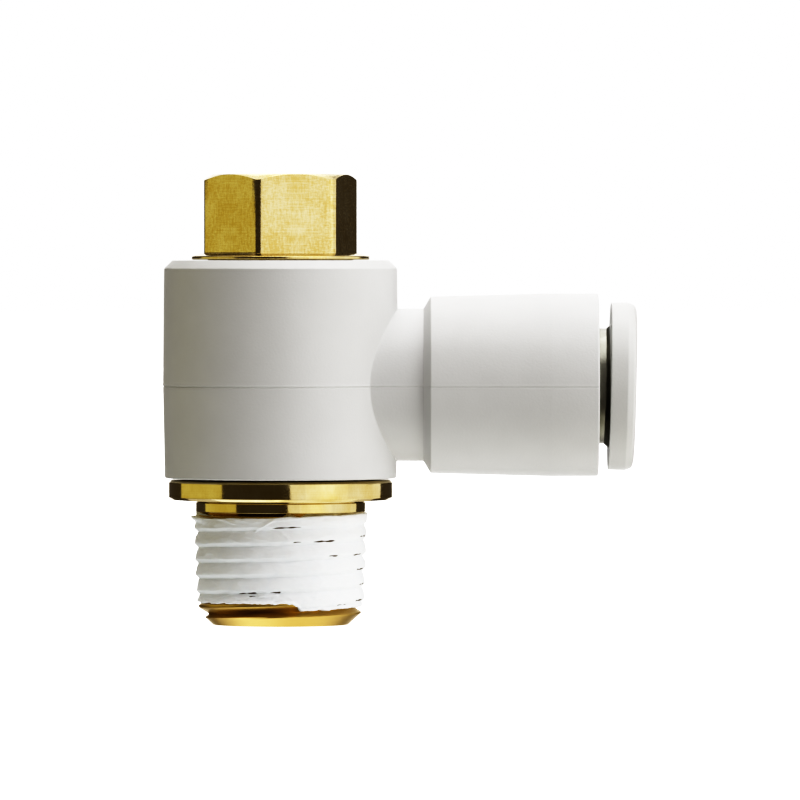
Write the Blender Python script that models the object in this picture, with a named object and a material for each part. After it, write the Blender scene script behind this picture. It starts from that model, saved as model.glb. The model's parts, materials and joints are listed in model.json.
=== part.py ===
"""One-way flow control valve for compressed air: a banjo valve for 6 mm tube and an R1/8 port.

A brass stud with a taper thread carries a white swivelling body with a push-in tube socket. A hexagonal
head bush closes the top and holds a slotted metering needle, which throttles an orifice in a seat ring.
A lip seal round the seat ring lets air bypass the needle in one direction only.

Frame: +Z is the valve's axis, from the port end to the hexagon. +X is the tube socket's axis. The origin
is on the valve's axis, at the stud's port end. Dimensions below are in millimetres; meshes are in metres.
"""

import math

import bmesh
import bpy
from mathutils import Matrix

MM = 0.001
TURN = 2 * math.pi
WELD = 1e-7

# Running clearance between touching pieces, on the radius, and the gap between faces that meet.
CLEARANCE = 0.07
FACE_GAP = 0.05

# Heights on the valve's axis, from the port end.
THREAD_TOP = 6.38
FLANGE_LOW = 7.25
FLANGE_HIGH = 8.42
BODY_LOW = 8.50
SLEEVE_TOP = 17.60
BODY_HIGH = 21.16
HEAD_LOW = 21.62
HEAD_HIGH = 26.15
BRANCH_Z = 13.92

# R1/8 taper port thread (ISO 7): 28 threads per inch, taper 1 in 16 on the diameter.
PORT_PITCH = 0.907
PORT_DEPTH = 0.581
PORT_GAUGE_RADIUS = 4.864
PORT_GAUGE_HEIGHT = 4.0
PORT_TAPER = 1 / 32
PORT_CHAMFER_SLOPE = 1.125
PORT_END_RADIUS = 3.93
PORT_BORE_RADIUS = 2.2
PORT_CREST_FLAT = 0.18

# Joint thread between the stud's sleeve and the head bush.
JOINT_PITCH = 0.75
JOINT_CREST = 3.42
JOINT_DEPTH = 0.40
JOINT_LOW = 14.60
JOINT_HIGH = 17.35

# Needle thread: M4 x 0.5, right hand.
NEEDLE_PITCH = 0.5
NEEDLE_CREST = 2.0
NEEDLE_DEPTH = 0.31
NEEDLE_TOP = 23.50

# Radii that several pieces share.
SHANK_RADIUS = 4.20
BODY_BORE = SHANK_RADIUS + CLEARANCE
FLANGE_RADIUS = 6.52
NECK_RADIUS = 4.94
SLEEVE_BORE = 3.00
GROOVE_ROOT = 3.43
GROOVE_LENGTH = 1.2
UPPER_GROOVE = 18.60
LOWER_GROOVE = 9.10
NEEDLE_BORE = 2.20
ORIFICE_RADIUS = 1.30
SEAT_HIGH = 10.40

# Hexagon of the head, 8 mm across flats, with one corner this far round from +X.
HEX_APOTHEM = 4.0
HEX_TURN = math.radians(13.7)
HEX_CHAMFER = math.tan(math.radians(30))
COLLAR_RADIUS = 5.20

# White body: ring and socket.
RING_RADIUS = 6.87
RING_DRAFT = 0.012
CHAMBER_RADIUS = 5.20
CHAMBER_LOW = 11.00
CHAMBER_HIGH = 17.00
BRANCH_NECK_RADIUS = 4.43
SOCKET_LOW = 8.30
SOCKET_HIGH = 18.45
SOCKET_RADIUS_LOW = 5.13
SOCKET_RADIUS_HIGH = 5.31
WINDOW_RADIUS = 1.15
PASSAGE_RADIUS = 1.7

# Push-in cartridge, for tube of this radius, along the socket's axis.
TUBE_RADIUS = 3.0
TUBE_BORE = 3.07
TUBE_STOP = 7.40
PACKING_LOW = 11.90
PACKING_BORE = 4.20
CARTRIDGE_LOW = 13.80
CARTRIDGE_BORE = 4.55
GRIP_RADIUS = 2.97
BUTTON_SHANK = 3.35
BUTTON_RADIUS = 4.85
BUTTON_BACK = 19.05
BUTTON_FACE = 20.70
BUTTON_ROUND = 0.45

FINE, MEDIUM, COARSE = 60, 48, 36


# ---------------------------------------------------------------- shapes


def arc(centre, radius, start, end, steps):
    """Points (radius, height) along an arc of the section, angles in degrees."""
    angles = [math.radians(start + (end - start) * k / steps) for k in range(steps + 1)]
    return [(centre[0] + radius * math.cos(a), centre[1] + radius * math.sin(a)) for a in angles]


def ridge(turns, flat):
    """Height of a thread's ridge, 0 at the root and 1 on the crest, for a position counted in pitches."""
    from_crest = abs(turns % 1 - 0.5)
    return min(1.0, max(0.0, (0.5 - from_crest) / (0.5 - flat / 2)))


def thread_rows(low, high, pitch, flat, radius_at):
    """Rows of a right-hand thread between two heights, each a function of the angle.

    Every row climbs one pitch in a turn and is held between the two heights, so the thread ends in flat
    rings there. radius_at(height, share) is the radius where the ridge has that share of its height.
    """
    phases = (0.0, 0.5 - flat / 2, 0.5 + flat / 2) if flat else (0.0, 0.5)
    rows = []
    for turn in range(math.floor(low / pitch) - 1, math.ceil(high / pitch) + 1):
        for phase in phases:
            rise = (turn + phase) * pitch

            def row(angle, rise=rise):
                height = min(max(rise + pitch * angle / TURN, low), high)
                share = ridge(height / pitch - angle / TURN, flat)
                return radius_at(height, share), height

            rows.append(row)
    return rows


def turned_mesh(name, section, segments):
    """Mesh turned about Z from a closed section of points (radius, height), or functions of the angle."""
    shape = bmesh.new()
    columns = []
    for step in range(segments + 1):
        angle = TURN * step / segments
        across, along = math.cos(angle), math.sin(angle)
        column = []
        for item in section:
            radius, height = item(angle) if callable(item) else item
            column.append(shape.verts.new((radius * across * MM, radius * along * MM, height * MM)))
        columns.append(column)
    count = len(section)
    for left, right in zip(columns, columns[1:]):
        for k in range(count):
            shape.faces.new((left[k], right[k], right[(k + 1) % count], left[(k + 1) % count]))
    bmesh.ops.remove_doubles(shape, verts=shape.verts, dist=WELD)
    bmesh.ops.dissolve_degenerate(shape, edges=shape.edges, dist=WELD)
    bmesh.ops.recalc_face_normals(shape, faces=shape.faces)
    mesh = bpy.data.meshes.new(name)
    shape.to_mesh(mesh)
    shape.free()
    return mesh


def place(name, mesh, material, on_branch=False):
    """Puts a mesh in the scene as a named piece, on the valve's axis or on the socket's."""
    piece = bpy.data.objects.new(name, mesh)
    bpy.context.scene.collection.objects.link(piece)
    if on_branch:
        piece.location = (0, 0, BRANCH_Z * MM)
        piece.rotation_euler = (0, TURN / 4, 0)
    mesh.materials.append(material)
    mesh.shade_smooth()
    mesh.set_sharp_from_angle(angle=math.radians(32))
    return piece


def turned(name, section, segments, material, on_branch=False):
    return place(name, turned_mesh(name, section, segments), material, on_branch)


def box_mesh(name, size, centre, turn=0.0):
    """Box of these sides in millimetres, with its centre here, turned about Z by an angle."""
    shape = bmesh.new()
    bmesh.ops.create_cube(shape, size=MM)
    bmesh.ops.scale(shape, verts=shape.verts, vec=size)
    bmesh.ops.translate(shape, verts=shape.verts, vec=[c * MM for c in centre])
    bmesh.ops.rotate(shape, verts=shape.verts, matrix=Matrix.Rotation(turn, 3, "Z"))
    mesh = bpy.data.meshes.new(name)
    shape.to_mesh(mesh)
    shape.free()
    return mesh


def rod_mesh(name, radius, length, matrix, segments=24):
    """Cylinder about Z with its centre at the origin, then moved by a matrix in millimetres."""
    shape = bmesh.new()
    bmesh.ops.create_cone(
        shape, segments=segments, radius1=radius, radius2=radius, depth=length, cap_ends=True
    )
    bmesh.ops.transform(shape, verts=shape.verts, matrix=Matrix.Scale(MM, 4) @ matrix)
    mesh = bpy.data.meshes.new(name)
    shape.to_mesh(mesh)
    shape.free()
    return mesh


def combine(piece, mesh, operation="DIFFERENCE"):
    """Cuts a piece with a mesh, or joins the mesh to it, by a Boolean in the piece's own frame."""
    helper = bpy.data.objects.new(mesh.name, mesh)
    bpy.context.scene.collection.objects.link(helper)
    helper.location = piece.location
    helper.rotation_euler = piece.rotation_euler
    helper.display_type = "WIRE"
    helper.hide_render = True
    modifier = piece.modifiers.new(mesh.name, "BOOLEAN")
    modifier.operation = operation
    modifier.object = helper
    modifier.solver = "EXACT"


def along_x(mesh):
    """Turns a mesh made about Z so that it lies along the socket's axis."""
    turn = Matrix.Translation((0, 0, BRANCH_Z * MM)) @ Matrix.Rotation(TURN / 4, 4, "Y")
    mesh.transform(turn)
    return mesh


# ---------------------------------------------------------------- materials


def finish(name, colour, roughness, metallic=0.0):
    material = bpy.data.materials.new(name)
    material.use_nodes = True
    shader = material.node_tree.nodes["Principled BSDF"]
    shader.inputs["Base Color"].default_value = (*colour, 1.0)
    shader.inputs["Roughness"].default_value = roughness
    shader.inputs["Metallic"].default_value = metallic
    return material


# ---------------------------------------------------------------- brass core


def port_crest(height):
    return PORT_GAUGE_RADIUS + (height - PORT_GAUGE_HEIGHT) * PORT_TAPER


def port_radius(height, share):
    """Radius of the port thread: tapered, chamfered at the port end and run out under the neck."""
    run_out = min(1.0, (THREAD_TOP - height) / 0.6)
    radius = port_crest(height) - PORT_DEPTH * run_out * (1 - share)
    return min(radius, PORT_END_RADIUS + PORT_CHAMFER_SLOPE * height)


def joint_radius(offset):
    return lambda height, share: JOINT_CREST - JOINT_DEPTH * (1 - share) + offset


def needle_radius(offset):
    return lambda height, share: NEEDLE_CREST - NEEDLE_DEPTH * (1 - share) + offset


def o_ring(name, ring_radius, cord_radius, height, segments, material):
    section = arc((ring_radius, height), cord_radius, 0, 315, 7)
    return turned(name, section, segments, material)


def threaded_stud(brass):
    """Stud with the port thread and flange below, and a sleeve that carries the swivelling body."""
    section = [(PORT_BORE_RADIUS + 0.3, 0.0), (PORT_END_RADIUS, 0.0)]
    section += thread_rows(0.0, THREAD_TOP, PORT_PITCH, PORT_CREST_FLAT, port_radius)
    section += [
        (NECK_RADIUS, THREAD_TOP),
        (NECK_RADIUS, FLANGE_LOW),
        (FLANGE_RADIUS - 0.22, FLANGE_LOW),
        (FLANGE_RADIUS, FLANGE_LOW + 0.2),
        (FLANGE_RADIUS, FLANGE_HIGH - 0.2),
        (FLANGE_RADIUS - 0.22, FLANGE_HIGH),
        (SHANK_RADIUS, FLANGE_HIGH),
        (SHANK_RADIUS, LOWER_GROOVE),
        (GROOVE_ROOT, LOWER_GROOVE),
        (GROOVE_ROOT, LOWER_GROOVE + GROOVE_LENGTH),
        (SHANK_RADIUS, LOWER_GROOVE + GROOVE_LENGTH),
        (SHANK_RADIUS, SLEEVE_TOP),
        (JOINT_CREST + 0.2, SLEEVE_TOP),
    ]
    inside = thread_rows(JOINT_LOW - 0.3, SLEEVE_TOP - 0.1, JOINT_PITCH, 0, joint_radius(0.09))
    section += inside[::-1]
    section += [
        (SLEEVE_BORE, JOINT_LOW - 0.3),
        (SLEEVE_BORE, 4.6),
        (PORT_BORE_RADIUS, 4.3),
        (PORT_BORE_RADIUS, 0.3),
    ]
    stud = turned("threaded_stud", section, COARSE, brass)
    for k in range(2):
        lay = Matrix.Translation((0, 0, 12.4)) @ Matrix.Rotation(TURN / 8 + k * TURN / 4, 4, "Z")
        window = rod_mesh(f"cut_window_{k}", WINDOW_RADIUS, 12.0, lay @ Matrix.Rotation(TURN / 4, 4, "Y"))
        combine(stud, window)
    return stud


def thread_sealant(coating):
    """White sealant baked on the port thread: a thin skin that follows the ridges."""
    low, high, inner, outer = 1.25, THREAD_TOP - 0.1, 0.04, 0.15

    def skin(offset, share_kept):
        return lambda height, share: port_radius(height, 1 - share_kept * (1 - share)) + offset

    section = thread_rows(low, high, PORT_PITCH, PORT_CREST_FLAT, skin(outer, 0.85))
    section += thread_rows(low, high, PORT_PITCH, PORT_CREST_FLAT, skin(inner, 1.0))[::-1]
    return turned("thread_sealant", section, COARSE, coating)


def hexagon_radius(angle):
    """Distance from the axis to the hexagon's flats at an angle."""
    from_corner = (angle - HEX_TURN) % (TURN / 6)
    return HEX_APOTHEM / math.cos(from_corner - TURN / 12)


def head_bush(brass):
    """Hexagonal head with a collar, on a shank that screws into the stud's sleeve and guides the needle."""
    flat_top = HEX_APOTHEM - 0.05

    def skirt(angle):
        radius = hexagon_radius(angle)
        return radius, HEAD_LOW - 0.16 * (radius - HEX_APOTHEM)

    def foot(angle):
        return hexagon_radius(angle), HEAD_LOW

    def crown(angle):
        radius = hexagon_radius(angle)
        return radius, HEAD_HIGH - (radius - flat_top) * HEX_CHAMFER

    section = [(NEEDLE_BORE, 14.3), (2.75, 14.3)]
    section += thread_rows(JOINT_LOW, JOINT_HIGH, JOINT_PITCH, 0, joint_radius(0))
    section += [
        (JOINT_CREST - JOINT_DEPTH, JOINT_HIGH),
        (JOINT_CREST - JOINT_DEPTH, SLEEVE_TOP + FACE_GAP),
        (SHANK_RADIUS, SLEEVE_TOP + FACE_GAP),
        (SHANK_RADIUS, UPPER_GROOVE),
        (GROOVE_ROOT, UPPER_GROOVE),
        (GROOVE_ROOT, UPPER_GROOVE + GROOVE_LENGTH),
        (SHANK_RADIUS, UPPER_GROOVE + GROOVE_LENGTH),
        (SHANK_RADIUS, BODY_HIGH + 0.08),
        (COLLAR_RADIUS - 0.08, BODY_HIGH + 0.08),
        (COLLAR_RADIUS, BODY_HIGH + 0.14),
        (COLLAR_RADIUS, BODY_HIGH + 0.26),
        skirt,
        foot,
        crown,
        (flat_top, HEAD_HIGH),
        (2.5, HEAD_HIGH),
        (NEEDLE_CREST + 0.12, HEAD_HIGH - 0.35),
        (NEEDLE_CREST + 0.12, 23.1),
    ]
    section += thread_rows(19.7, 23.0, NEEDLE_PITCH, 0, needle_radius(0.08))[::-1]
    section += [(NEEDLE_BORE, 19.6)]
    return turned("head_bush", section, COARSE, brass)


def seat_ring(material):
    """Orifice ring pressed into the sleeve: a rim with bypass notches, a neck and a foot for the lip seal."""
    section = [
        (ORIFICE_RADIUS, 6.6),
        (2.25, 6.6),
        (2.25, 7.1),
        (1.85, 7.2),
        (1.85, 9.0),
        (SLEEVE_BORE - FACE_GAP, 9.0),
        (SLEEVE_BORE - FACE_GAP, SEAT_HIGH),
        (ORIFICE_RADIUS + 0.5, SEAT_HIGH),
        (ORIFICE_RADIUS, SEAT_HIGH - 0.35),
    ]
    ring = turned("seat_ring", section, COARSE, material)
    for k in range(4):
        lay = Matrix.Rotation((k + 0.2) * TURN / 4, 4, "Z") @ Matrix.Translation((3.0, 0, 9.7))
        combine(ring, rod_mesh(f"cut_notch_{k}", 0.75, 2.0, lay, 16))
    return ring


def check_lip_seal(rubber):
    """Lip seal round the seat ring's neck. Its lip faces the port, so port pressure opens it on the bore."""
    section = [
        (1.92, 8.92),
        (1.92, 7.32),
        (2.10, 7.32),
        (2.22, 8.20),
        (2.70, 7.22),
        (2.92, 7.22),
        (2.92, 7.55),
        (2.55, 8.92),
    ]
    return turned("check_lip_seal", section, COARSE, rubber)


def metering_needle(brass):
    """Screw with a driver slot, an O-ring land and a long metering taper, closed on the seat."""
    section = [
        (0.0, 7.3),
        (0.45, 7.4),
        (ORIFICE_RADIUS - 0.06, SEAT_HIGH - 0.3),
        (1.55, SEAT_HIGH + 0.1),
        (1.55, 14.5),
        (2.02, 14.5),
        (NEEDLE_BORE - CLEARANCE, 14.6),
        (NEEDLE_BORE - CLEARANCE, 15.2),
        (1.45, 15.2),
        (1.45, 16.2),
        (NEEDLE_BORE - CLEARANCE, 16.2),
        (NEEDLE_BORE - CLEARANCE, 16.9),
        (1.60, 17.0),
        (1.60, 17.2),
    ]
    section += thread_rows(17.2, NEEDLE_TOP - 0.25, NEEDLE_PITCH, 0, needle_radius(0))
    section += [(1.60, NEEDLE_TOP - 0.2), (1.60, NEEDLE_TOP), (0.0, NEEDLE_TOP)]
    needle = turned("metering_needle", section, 24, brass)
    combine(needle, box_mesh("cut_driver_slot", (5.0, 0.5, 1.4), (0, 0, NEEDLE_TOP)))
    return needle


# ---------------------------------------------------------------- white body


def ring_radius(height):
    """The moulded ring is widest at the parting plane and drafted towards both ends."""
    return RING_RADIUS - RING_DRAFT * abs(height - BRANCH_Z)


def swivel_body(plastic):
    """Moulded ring with a side branch for the tube, bored through both."""
    chamfer = 0.48
    ring = [
        (0, BODY_LOW),
        (ring_radius(BODY_LOW) - 0.08, BODY_LOW),
        (ring_radius(BODY_LOW), BODY_LOW + 0.08),
        (RING_RADIUS, BRANCH_Z),
        (ring_radius(BODY_HIGH), BODY_HIGH - chamfer),
        (ring_radius(BODY_HIGH) - chamfer, BODY_HIGH),
        (0, BODY_HIGH),
    ]
    branch = [
        (0, 2.0),
        (BRANCH_NECK_RADIUS, 2.0),
        (BRANCH_NECK_RADIUS, SOCKET_LOW),
        (SOCKET_RADIUS_LOW, SOCKET_LOW + 0.42),
        (SOCKET_RADIUS_HIGH, 15.7),
        (SOCKET_RADIUS_HIGH, SOCKET_HIGH - 0.12),
        (SOCKET_RADIUS_HIGH - 0.12, SOCKET_HIGH),
        (0, SOCKET_HIGH),
    ]
    ring_bore = [
        (0, BODY_LOW - 1),
        (BODY_BORE + 1.2, BODY_LOW - 1),
        (BODY_BORE, BODY_LOW + 0.2),
        (BODY_BORE, CHAMBER_LOW),
        (CHAMBER_RADIUS, CHAMBER_LOW + 0.2),
        (CHAMBER_RADIUS, CHAMBER_HIGH - 0.2),
        (BODY_BORE, CHAMBER_HIGH),
        (BODY_BORE, BODY_HIGH - 0.2),
        (BODY_BORE + 1.2, BODY_HIGH + 1),
        (0, BODY_HIGH + 1),
    ]
    branch_bore = [
        (0, 0.1),
        (PASSAGE_RADIUS, 0.1),
        (PASSAGE_RADIUS, TUBE_STOP),
        (TUBE_BORE, TUBE_STOP),
        (TUBE_BORE, PACKING_LOW - 0.1),
        (PACKING_BORE, PACKING_LOW - 0.1),
        (PACKING_BORE, CARTRIDGE_LOW),
        (CARTRIDGE_BORE, CARTRIDGE_LOW),
        (CARTRIDGE_BORE, SOCKET_HIGH + 1),
        (0, SOCKET_HIGH + 1),
    ]
    body = turned("swivel_body", ring, FINE, plastic)
    combine(body, along_x(turned_mesh("join_branch", branch, FINE)), "UNION")
    combine(body, turned_mesh("cut_ring_bore", ring_bore, FINE))
    combine(body, along_x(turned_mesh("cut_branch_bore", branch_bore, MEDIUM)))
    return body


# ---------------------------------------------------------------- push-in cartridge


def tube_packing(rubber):
    """Lip packing that seals on the tube, with its lips towards the air."""
    section = [
        (3.25, PACKING_LOW + 1.4),
        (GRIP_RADIUS, PACKING_LOW + 0.75),
        (GRIP_RADIUS, PACKING_LOW + 0.15),
        (3.25, PACKING_LOW),
        (3.55, PACKING_LOW + 0.7),
        (3.85, PACKING_LOW),
        (PACKING_BORE - FACE_GAP, PACKING_LOW + 0.15),
        (PACKING_BORE - FACE_GAP, PACKING_LOW + 1.4),
    ]
    return turned("tube_packing", section, COARSE, rubber, on_branch=True)


def seal_retainer(plastic):
    """Plain ring that keeps the teeth of the grab ring off the packing."""
    section = [
        (3.50, 13.35),
        (PACKING_BORE - FACE_GAP, 13.35),
        (PACKING_BORE - FACE_GAP, CARTRIDGE_LOW - 0.05),
        (3.55, CARTRIDGE_LOW - 0.05),
    ]
    return turned("seal_retainer", section, COARSE, plastic, on_branch=True)


def grab_ring(steel):
    """Stainless ring whose eight teeth slope inwards and bite the tube when it is pulled."""
    section = [
        (GRIP_RADIUS, 13.42),
        (GRIP_RADIUS, 13.58),
        (3.50, 14.03),
        (4.10, 14.03),
        (4.10, 13.88),
        (3.52, 13.88),
    ]
    ring = turned("grab_ring", section, MEDIUM, steel, on_branch=True)
    for k in range(4):
        slot = box_mesh(f"cut_tooth_gap_{k}", (6.9, 0.5, 2.0), (0, 0, 13.7), k * TURN / 8)
        combine(ring, slot)
    return ring


def collet(plastic):
    """Slotted collet behind the grab ring. Its outside tapers like the guide, which closes it on the tube."""
    section = [
        (3.02, 14.08),
        (4.08, 14.08),
        (4.08, 15.00),
        (3.90, 16.35),
        (3.50, 16.35),
        (3.50, 15.20),
        (3.02, 14.70),
    ]
    sleeve = turned("collet", section, MEDIUM, plastic, on_branch=True)
    for k in range(4):
        slot = box_mesh(f"cut_collet_slot_{k}", (9.0, 0.4, 2.4), (0, 0, 14.4), (k + 0.5) * TURN / 8)
        combine(sleeve, slot)
    return sleeve


def guide_ring(steel):
    """Metal sleeve pressed into the socket. Its taper wedges the collet and its lip holds the button."""
    outer = CARTRIDGE_BORE - FACE_GAP
    section = [
        (4.22, CARTRIDGE_LOW + 0.05),
        (outer, CARTRIDGE_LOW + 0.05),
        (outer, SOCKET_HIGH - 0.2),
        (3.62, SOCKET_HIGH - 0.2),
        (BUTTON_SHANK + 0.12, SOCKET_HIGH - 0.35),
        (BUTTON_SHANK + 0.12, 17.80),
        (3.92, 17.80),
        (3.92, 17.40),
        (4.22, 15.00),
    ]
    return turned("guide_ring", section, COARSE, steel, on_branch=True)


def release_button(plastic):
    """Button round the tube: its tip spreads the collet, and a barb keeps it in the guide."""
    centre = (BUTTON_RADIUS - BUTTON_ROUND, BUTTON_FACE - BUTTON_ROUND)
    section = [
        (TUBE_BORE, 15.95),
        (TUBE_BORE + 0.03, 15.90),
        (BUTTON_SHANK, 16.25),
        (BUTTON_SHANK, 17.40),
        (3.70, 17.55),
        (3.70, 17.75),
        (BUTTON_SHANK, 17.75),
        (BUTTON_SHANK, BUTTON_BACK - 0.08),
        (3.70, BUTTON_BACK + 0.08),
        (BUTTON_RADIUS - 0.45, BUTTON_BACK + 0.08),
        (BUTTON_RADIUS - 0.35, BUTTON_BACK + 0.14),
        (BUTTON_RADIUS - 0.06, BUTTON_BACK + 0.14),
        (BUTTON_RADIUS, BUTTON_BACK + 0.20),
    ]
    section += arc(centre, BUTTON_ROUND, 0, 90, 4)
    section += [(3.55, BUTTON_FACE), (TUBE_BORE, BUTTON_FACE - 0.5)]
    return turned("release_button", section, MEDIUM, plastic, on_branch=True)


# ---------------------------------------------------------------- assembly


def clear_scene():
    for thing in list(bpy.data.objects):
        bpy.data.objects.remove(thing, do_unlink=True)


def main():
    clear_scene()
    brass = finish("brass", (0.62, 0.45, 0.13), 0.25, 1.0)
    body_white = finish("body_white", (0.74, 0.74, 0.72), 0.42)
    button_white = finish("button_white", (0.72, 0.72, 0.70), 0.38)
    sealant_white = finish("sealant_white", (0.86, 0.86, 0.86), 0.6)
    natural_plastic = finish("natural_plastic", (0.80, 0.79, 0.74), 0.45)
    rubber = finish("rubber", (0.03, 0.03, 0.03), 0.6)
    steel = finish("steel", (0.62, 0.62, 0.60), 0.28, 1.0)

    threaded_stud(brass)
    thread_sealant(sealant_white)
    head_bush(brass)
    seat_ring(brass)
    check_lip_seal(rubber)
    o_ring("lower_o_ring", 3.84, 0.37, LOWER_GROOVE + GROOVE_LENGTH / 2, COARSE, rubber)
    o_ring("upper_o_ring", 3.84, 0.37, UPPER_GROOVE + GROOVE_LENGTH / 2, COARSE, rubber)
    metering_needle(brass)
    o_ring("needle_o_ring", 1.82, 0.33, 15.7, 24, rubber)

    swivel_body(body_white)
    tube_packing(rubber)
    seal_retainer(natural_plastic)
    grab_ring(steel)
    collet(natural_plastic)
    guide_ring(steel)
    release_button(button_white)


main()
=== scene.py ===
"""Looks of the flow control valve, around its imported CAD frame.

Dimensions are in millimetres in the valve's frame: +Z is the valve's axis from the port end, and +X is the
socket's axis. Pieces on the socket's axis are modelled about their own Z and turned onto it.
"""

import json
import math

import bmesh
import bpy
from mathutils import Matrix, Vector, noise

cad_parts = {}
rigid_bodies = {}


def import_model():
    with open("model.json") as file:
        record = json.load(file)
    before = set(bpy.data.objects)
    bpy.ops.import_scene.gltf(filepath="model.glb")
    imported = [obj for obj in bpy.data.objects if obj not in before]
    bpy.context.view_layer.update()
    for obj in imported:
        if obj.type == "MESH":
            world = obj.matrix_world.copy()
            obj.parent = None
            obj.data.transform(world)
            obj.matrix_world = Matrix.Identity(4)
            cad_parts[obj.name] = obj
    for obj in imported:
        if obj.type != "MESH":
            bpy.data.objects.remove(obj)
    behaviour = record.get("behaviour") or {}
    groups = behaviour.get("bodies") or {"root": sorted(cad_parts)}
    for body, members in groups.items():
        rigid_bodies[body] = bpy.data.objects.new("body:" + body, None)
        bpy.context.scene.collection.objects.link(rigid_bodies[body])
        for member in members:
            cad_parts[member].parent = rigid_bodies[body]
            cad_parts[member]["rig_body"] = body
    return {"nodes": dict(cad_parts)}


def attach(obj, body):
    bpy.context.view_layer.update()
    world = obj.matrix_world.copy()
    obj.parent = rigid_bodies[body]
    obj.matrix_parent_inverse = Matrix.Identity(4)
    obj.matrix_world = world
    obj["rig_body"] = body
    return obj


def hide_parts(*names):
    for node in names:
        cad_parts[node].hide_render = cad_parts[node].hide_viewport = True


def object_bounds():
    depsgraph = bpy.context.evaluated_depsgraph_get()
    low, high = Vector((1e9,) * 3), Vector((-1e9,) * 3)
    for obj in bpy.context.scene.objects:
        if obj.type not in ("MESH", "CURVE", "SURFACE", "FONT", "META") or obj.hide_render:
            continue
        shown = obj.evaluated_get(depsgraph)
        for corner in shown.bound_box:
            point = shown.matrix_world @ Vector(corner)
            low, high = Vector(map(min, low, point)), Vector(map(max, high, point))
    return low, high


MM = 0.001
TURN = 2 * math.pi
WELD = 1e-7

# The brass core, from the port end up.
FLANGE_LOW = 7.25
FLANGE_HIGH = 8.42
FLANGE_RADIUS = 6.52
FLANGE_CHAMFER = 0.16
NECK_RADIUS = 4.94
SHANK_RADIUS = 4.20
SLEEVE_TOP = 17.60
SLEEVE_BORE = 3.00
SLEEVE_FLOOR = 4.6
WINDOW_Z = 12.4
WINDOW_RADIUS = 1.15
HEAD_FOOT = 14.3
HEAD_LOW = 21.62
HEAD_HIGH = 26.15
HEAD_BORE = 2.12
COLLAR_RADIUS = 5.18
NEEDLE_TOP = 23.50
SEAT_BORE = 1.30

# O-rings and their grooves.
GROOVE_ROOT = 3.43
GROOVE_LENGTH = 1.2
UPPER_GROOVE = 18.60
LOWER_GROOVE = 9.10
O_RING_RADIUS = 3.84
O_RING_CORD = 0.37

# Port thread: R1/8, with its crest this share of a pitch above the +X direction.
PORT_PITCH = 0.907
PORT_DEPTH = 0.581
PORT_PHASE = 0.669
PORT_GAUGE_RADIUS = 4.864
PORT_GAUGE_HEIGHT = 4.0
PORT_TAPER = 1 / 32
PORT_END_RADIUS = 3.93
PORT_BORE = 2.20
THREAD_TOP = 6.38

# Threads between the sleeve and the head, and between the head and the needle.
SLEEVE_PITCH = 0.75
SLEEVE_THREAD_DEPTH = 0.4
NEEDLE_PITCH = 0.5
NEEDLE_THREAD_DEPTH = 0.31

# Sealant film over the port thread.
FILM = 0.09
FILM_SAG = 0.20
SEALANT_LOW = 1.30
SEALANT_HIGH = 6.36

HEX_APOTHEM = 4.0
HEX_TURN = math.radians(13.7)
HEX_CORNER = 0.50
HEX_CHAMFER = math.tan(math.radians(30))

# The white body: a ring, and a branch that ends in the tube socket.
BRANCH_Z = 13.92
BODY_LOW = 8.50
BODY_HIGH = 21.16
BODY_BORE = 4.27
BODY_CHAMBER = 5.20
RING_RADIUS = 6.84
RING_CHAMFER = 0.48
SEAM_REACH = 0.22
NECK_OF_BRANCH = 4.43
SOCKET_RADIUS = 5.30
SOCKET_LOW = 8.30
SOCKET_HIGH = 18.45
TUBE_STOP = 7.4
TUBE_BORE = 3.07

# The cartridge in the socket, and the button.
PACKING_LOW = 11.8
PACKING_BORE = 4.20
CARTRIDGE_LOW = 13.8
CARTRIDGE_BORE = 4.55
GRIP_RADIUS = 2.97
BUTTON_SHANK = 3.35
BUTTON_BARB = 3.70
BUTTON_RADIUS = 4.88
BUTTON_BACK = 19.10
BUTTON_FACE = 20.59
BUTTON_TILT = math.radians(1.2)
BUTTON_DROP = 0.07
# Painted shade: the band of radii round the button's groove, and its top, that the button's material
# colours dark.
BUTTON_SHADE_BAND = (3.48, 0.27, BUTTON_BACK - 0.01)


# ---------------------------------------------------------------- shapes


def soft(points, radius=0.05, steps=4):
    """Open profile of points (radius, height) with its inner corners rounded.

    A point may carry a rounding of its own as a third number.
    """
    out = [points[0][:2]]
    for before, here, after in zip(points, points[1:], points[2:]):
        size = here[2] if len(here) > 2 else radius
        corner = Vector(here[:2])
        back = Vector(before[:2]) - corner
        on = Vector(after[:2]) - corner
        if size <= 0 or back.length < 1e-6 or on.length < 1e-6:
            out.append(tuple(corner))
            continue
        half = back.angle(on) / 2
        reach = min(size / math.tan(half), 0.48 * back.length, 0.48 * on.length)
        start = corner + back.normalized() * reach
        end = corner + on.normalized() * reach
        for k in range(steps + 1):
            t = k / steps
            out.append(tuple(start * (1 - t) ** 2 + corner * 2 * t * (1 - t) + end * t * t))
    out.append(points[-1][:2])
    return out


def ring_of(points, radius=0.05, steps=4):
    """Closed section with all its corners rounded."""
    middle = tuple((a + b) / 2 for a, b in zip(points[-1][:2], points[0][:2]))
    return soft([middle, *points, middle], radius, steps)[:-1]


def even(count):
    return [TURN * k / count for k in range(count + 1)]


def smooth(low, high, value):
    t = min(1.0, max(0.0, (value - low) / (high - low)))
    return t * t * (3 - 2 * t)


def thread_share(turns, flat):
    """Rounded ridge: 0 at the root and 1 on the crest, for a position counted in pitches from a crest."""
    away = abs((turns + 0.5) % 1 - 0.5)
    straight = min(1.0, max(0.0, (0.5 - away) / (0.5 - flat / 2)))
    return 0.6 * straight + 0.4 * smooth(0, 1, straight)


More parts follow.
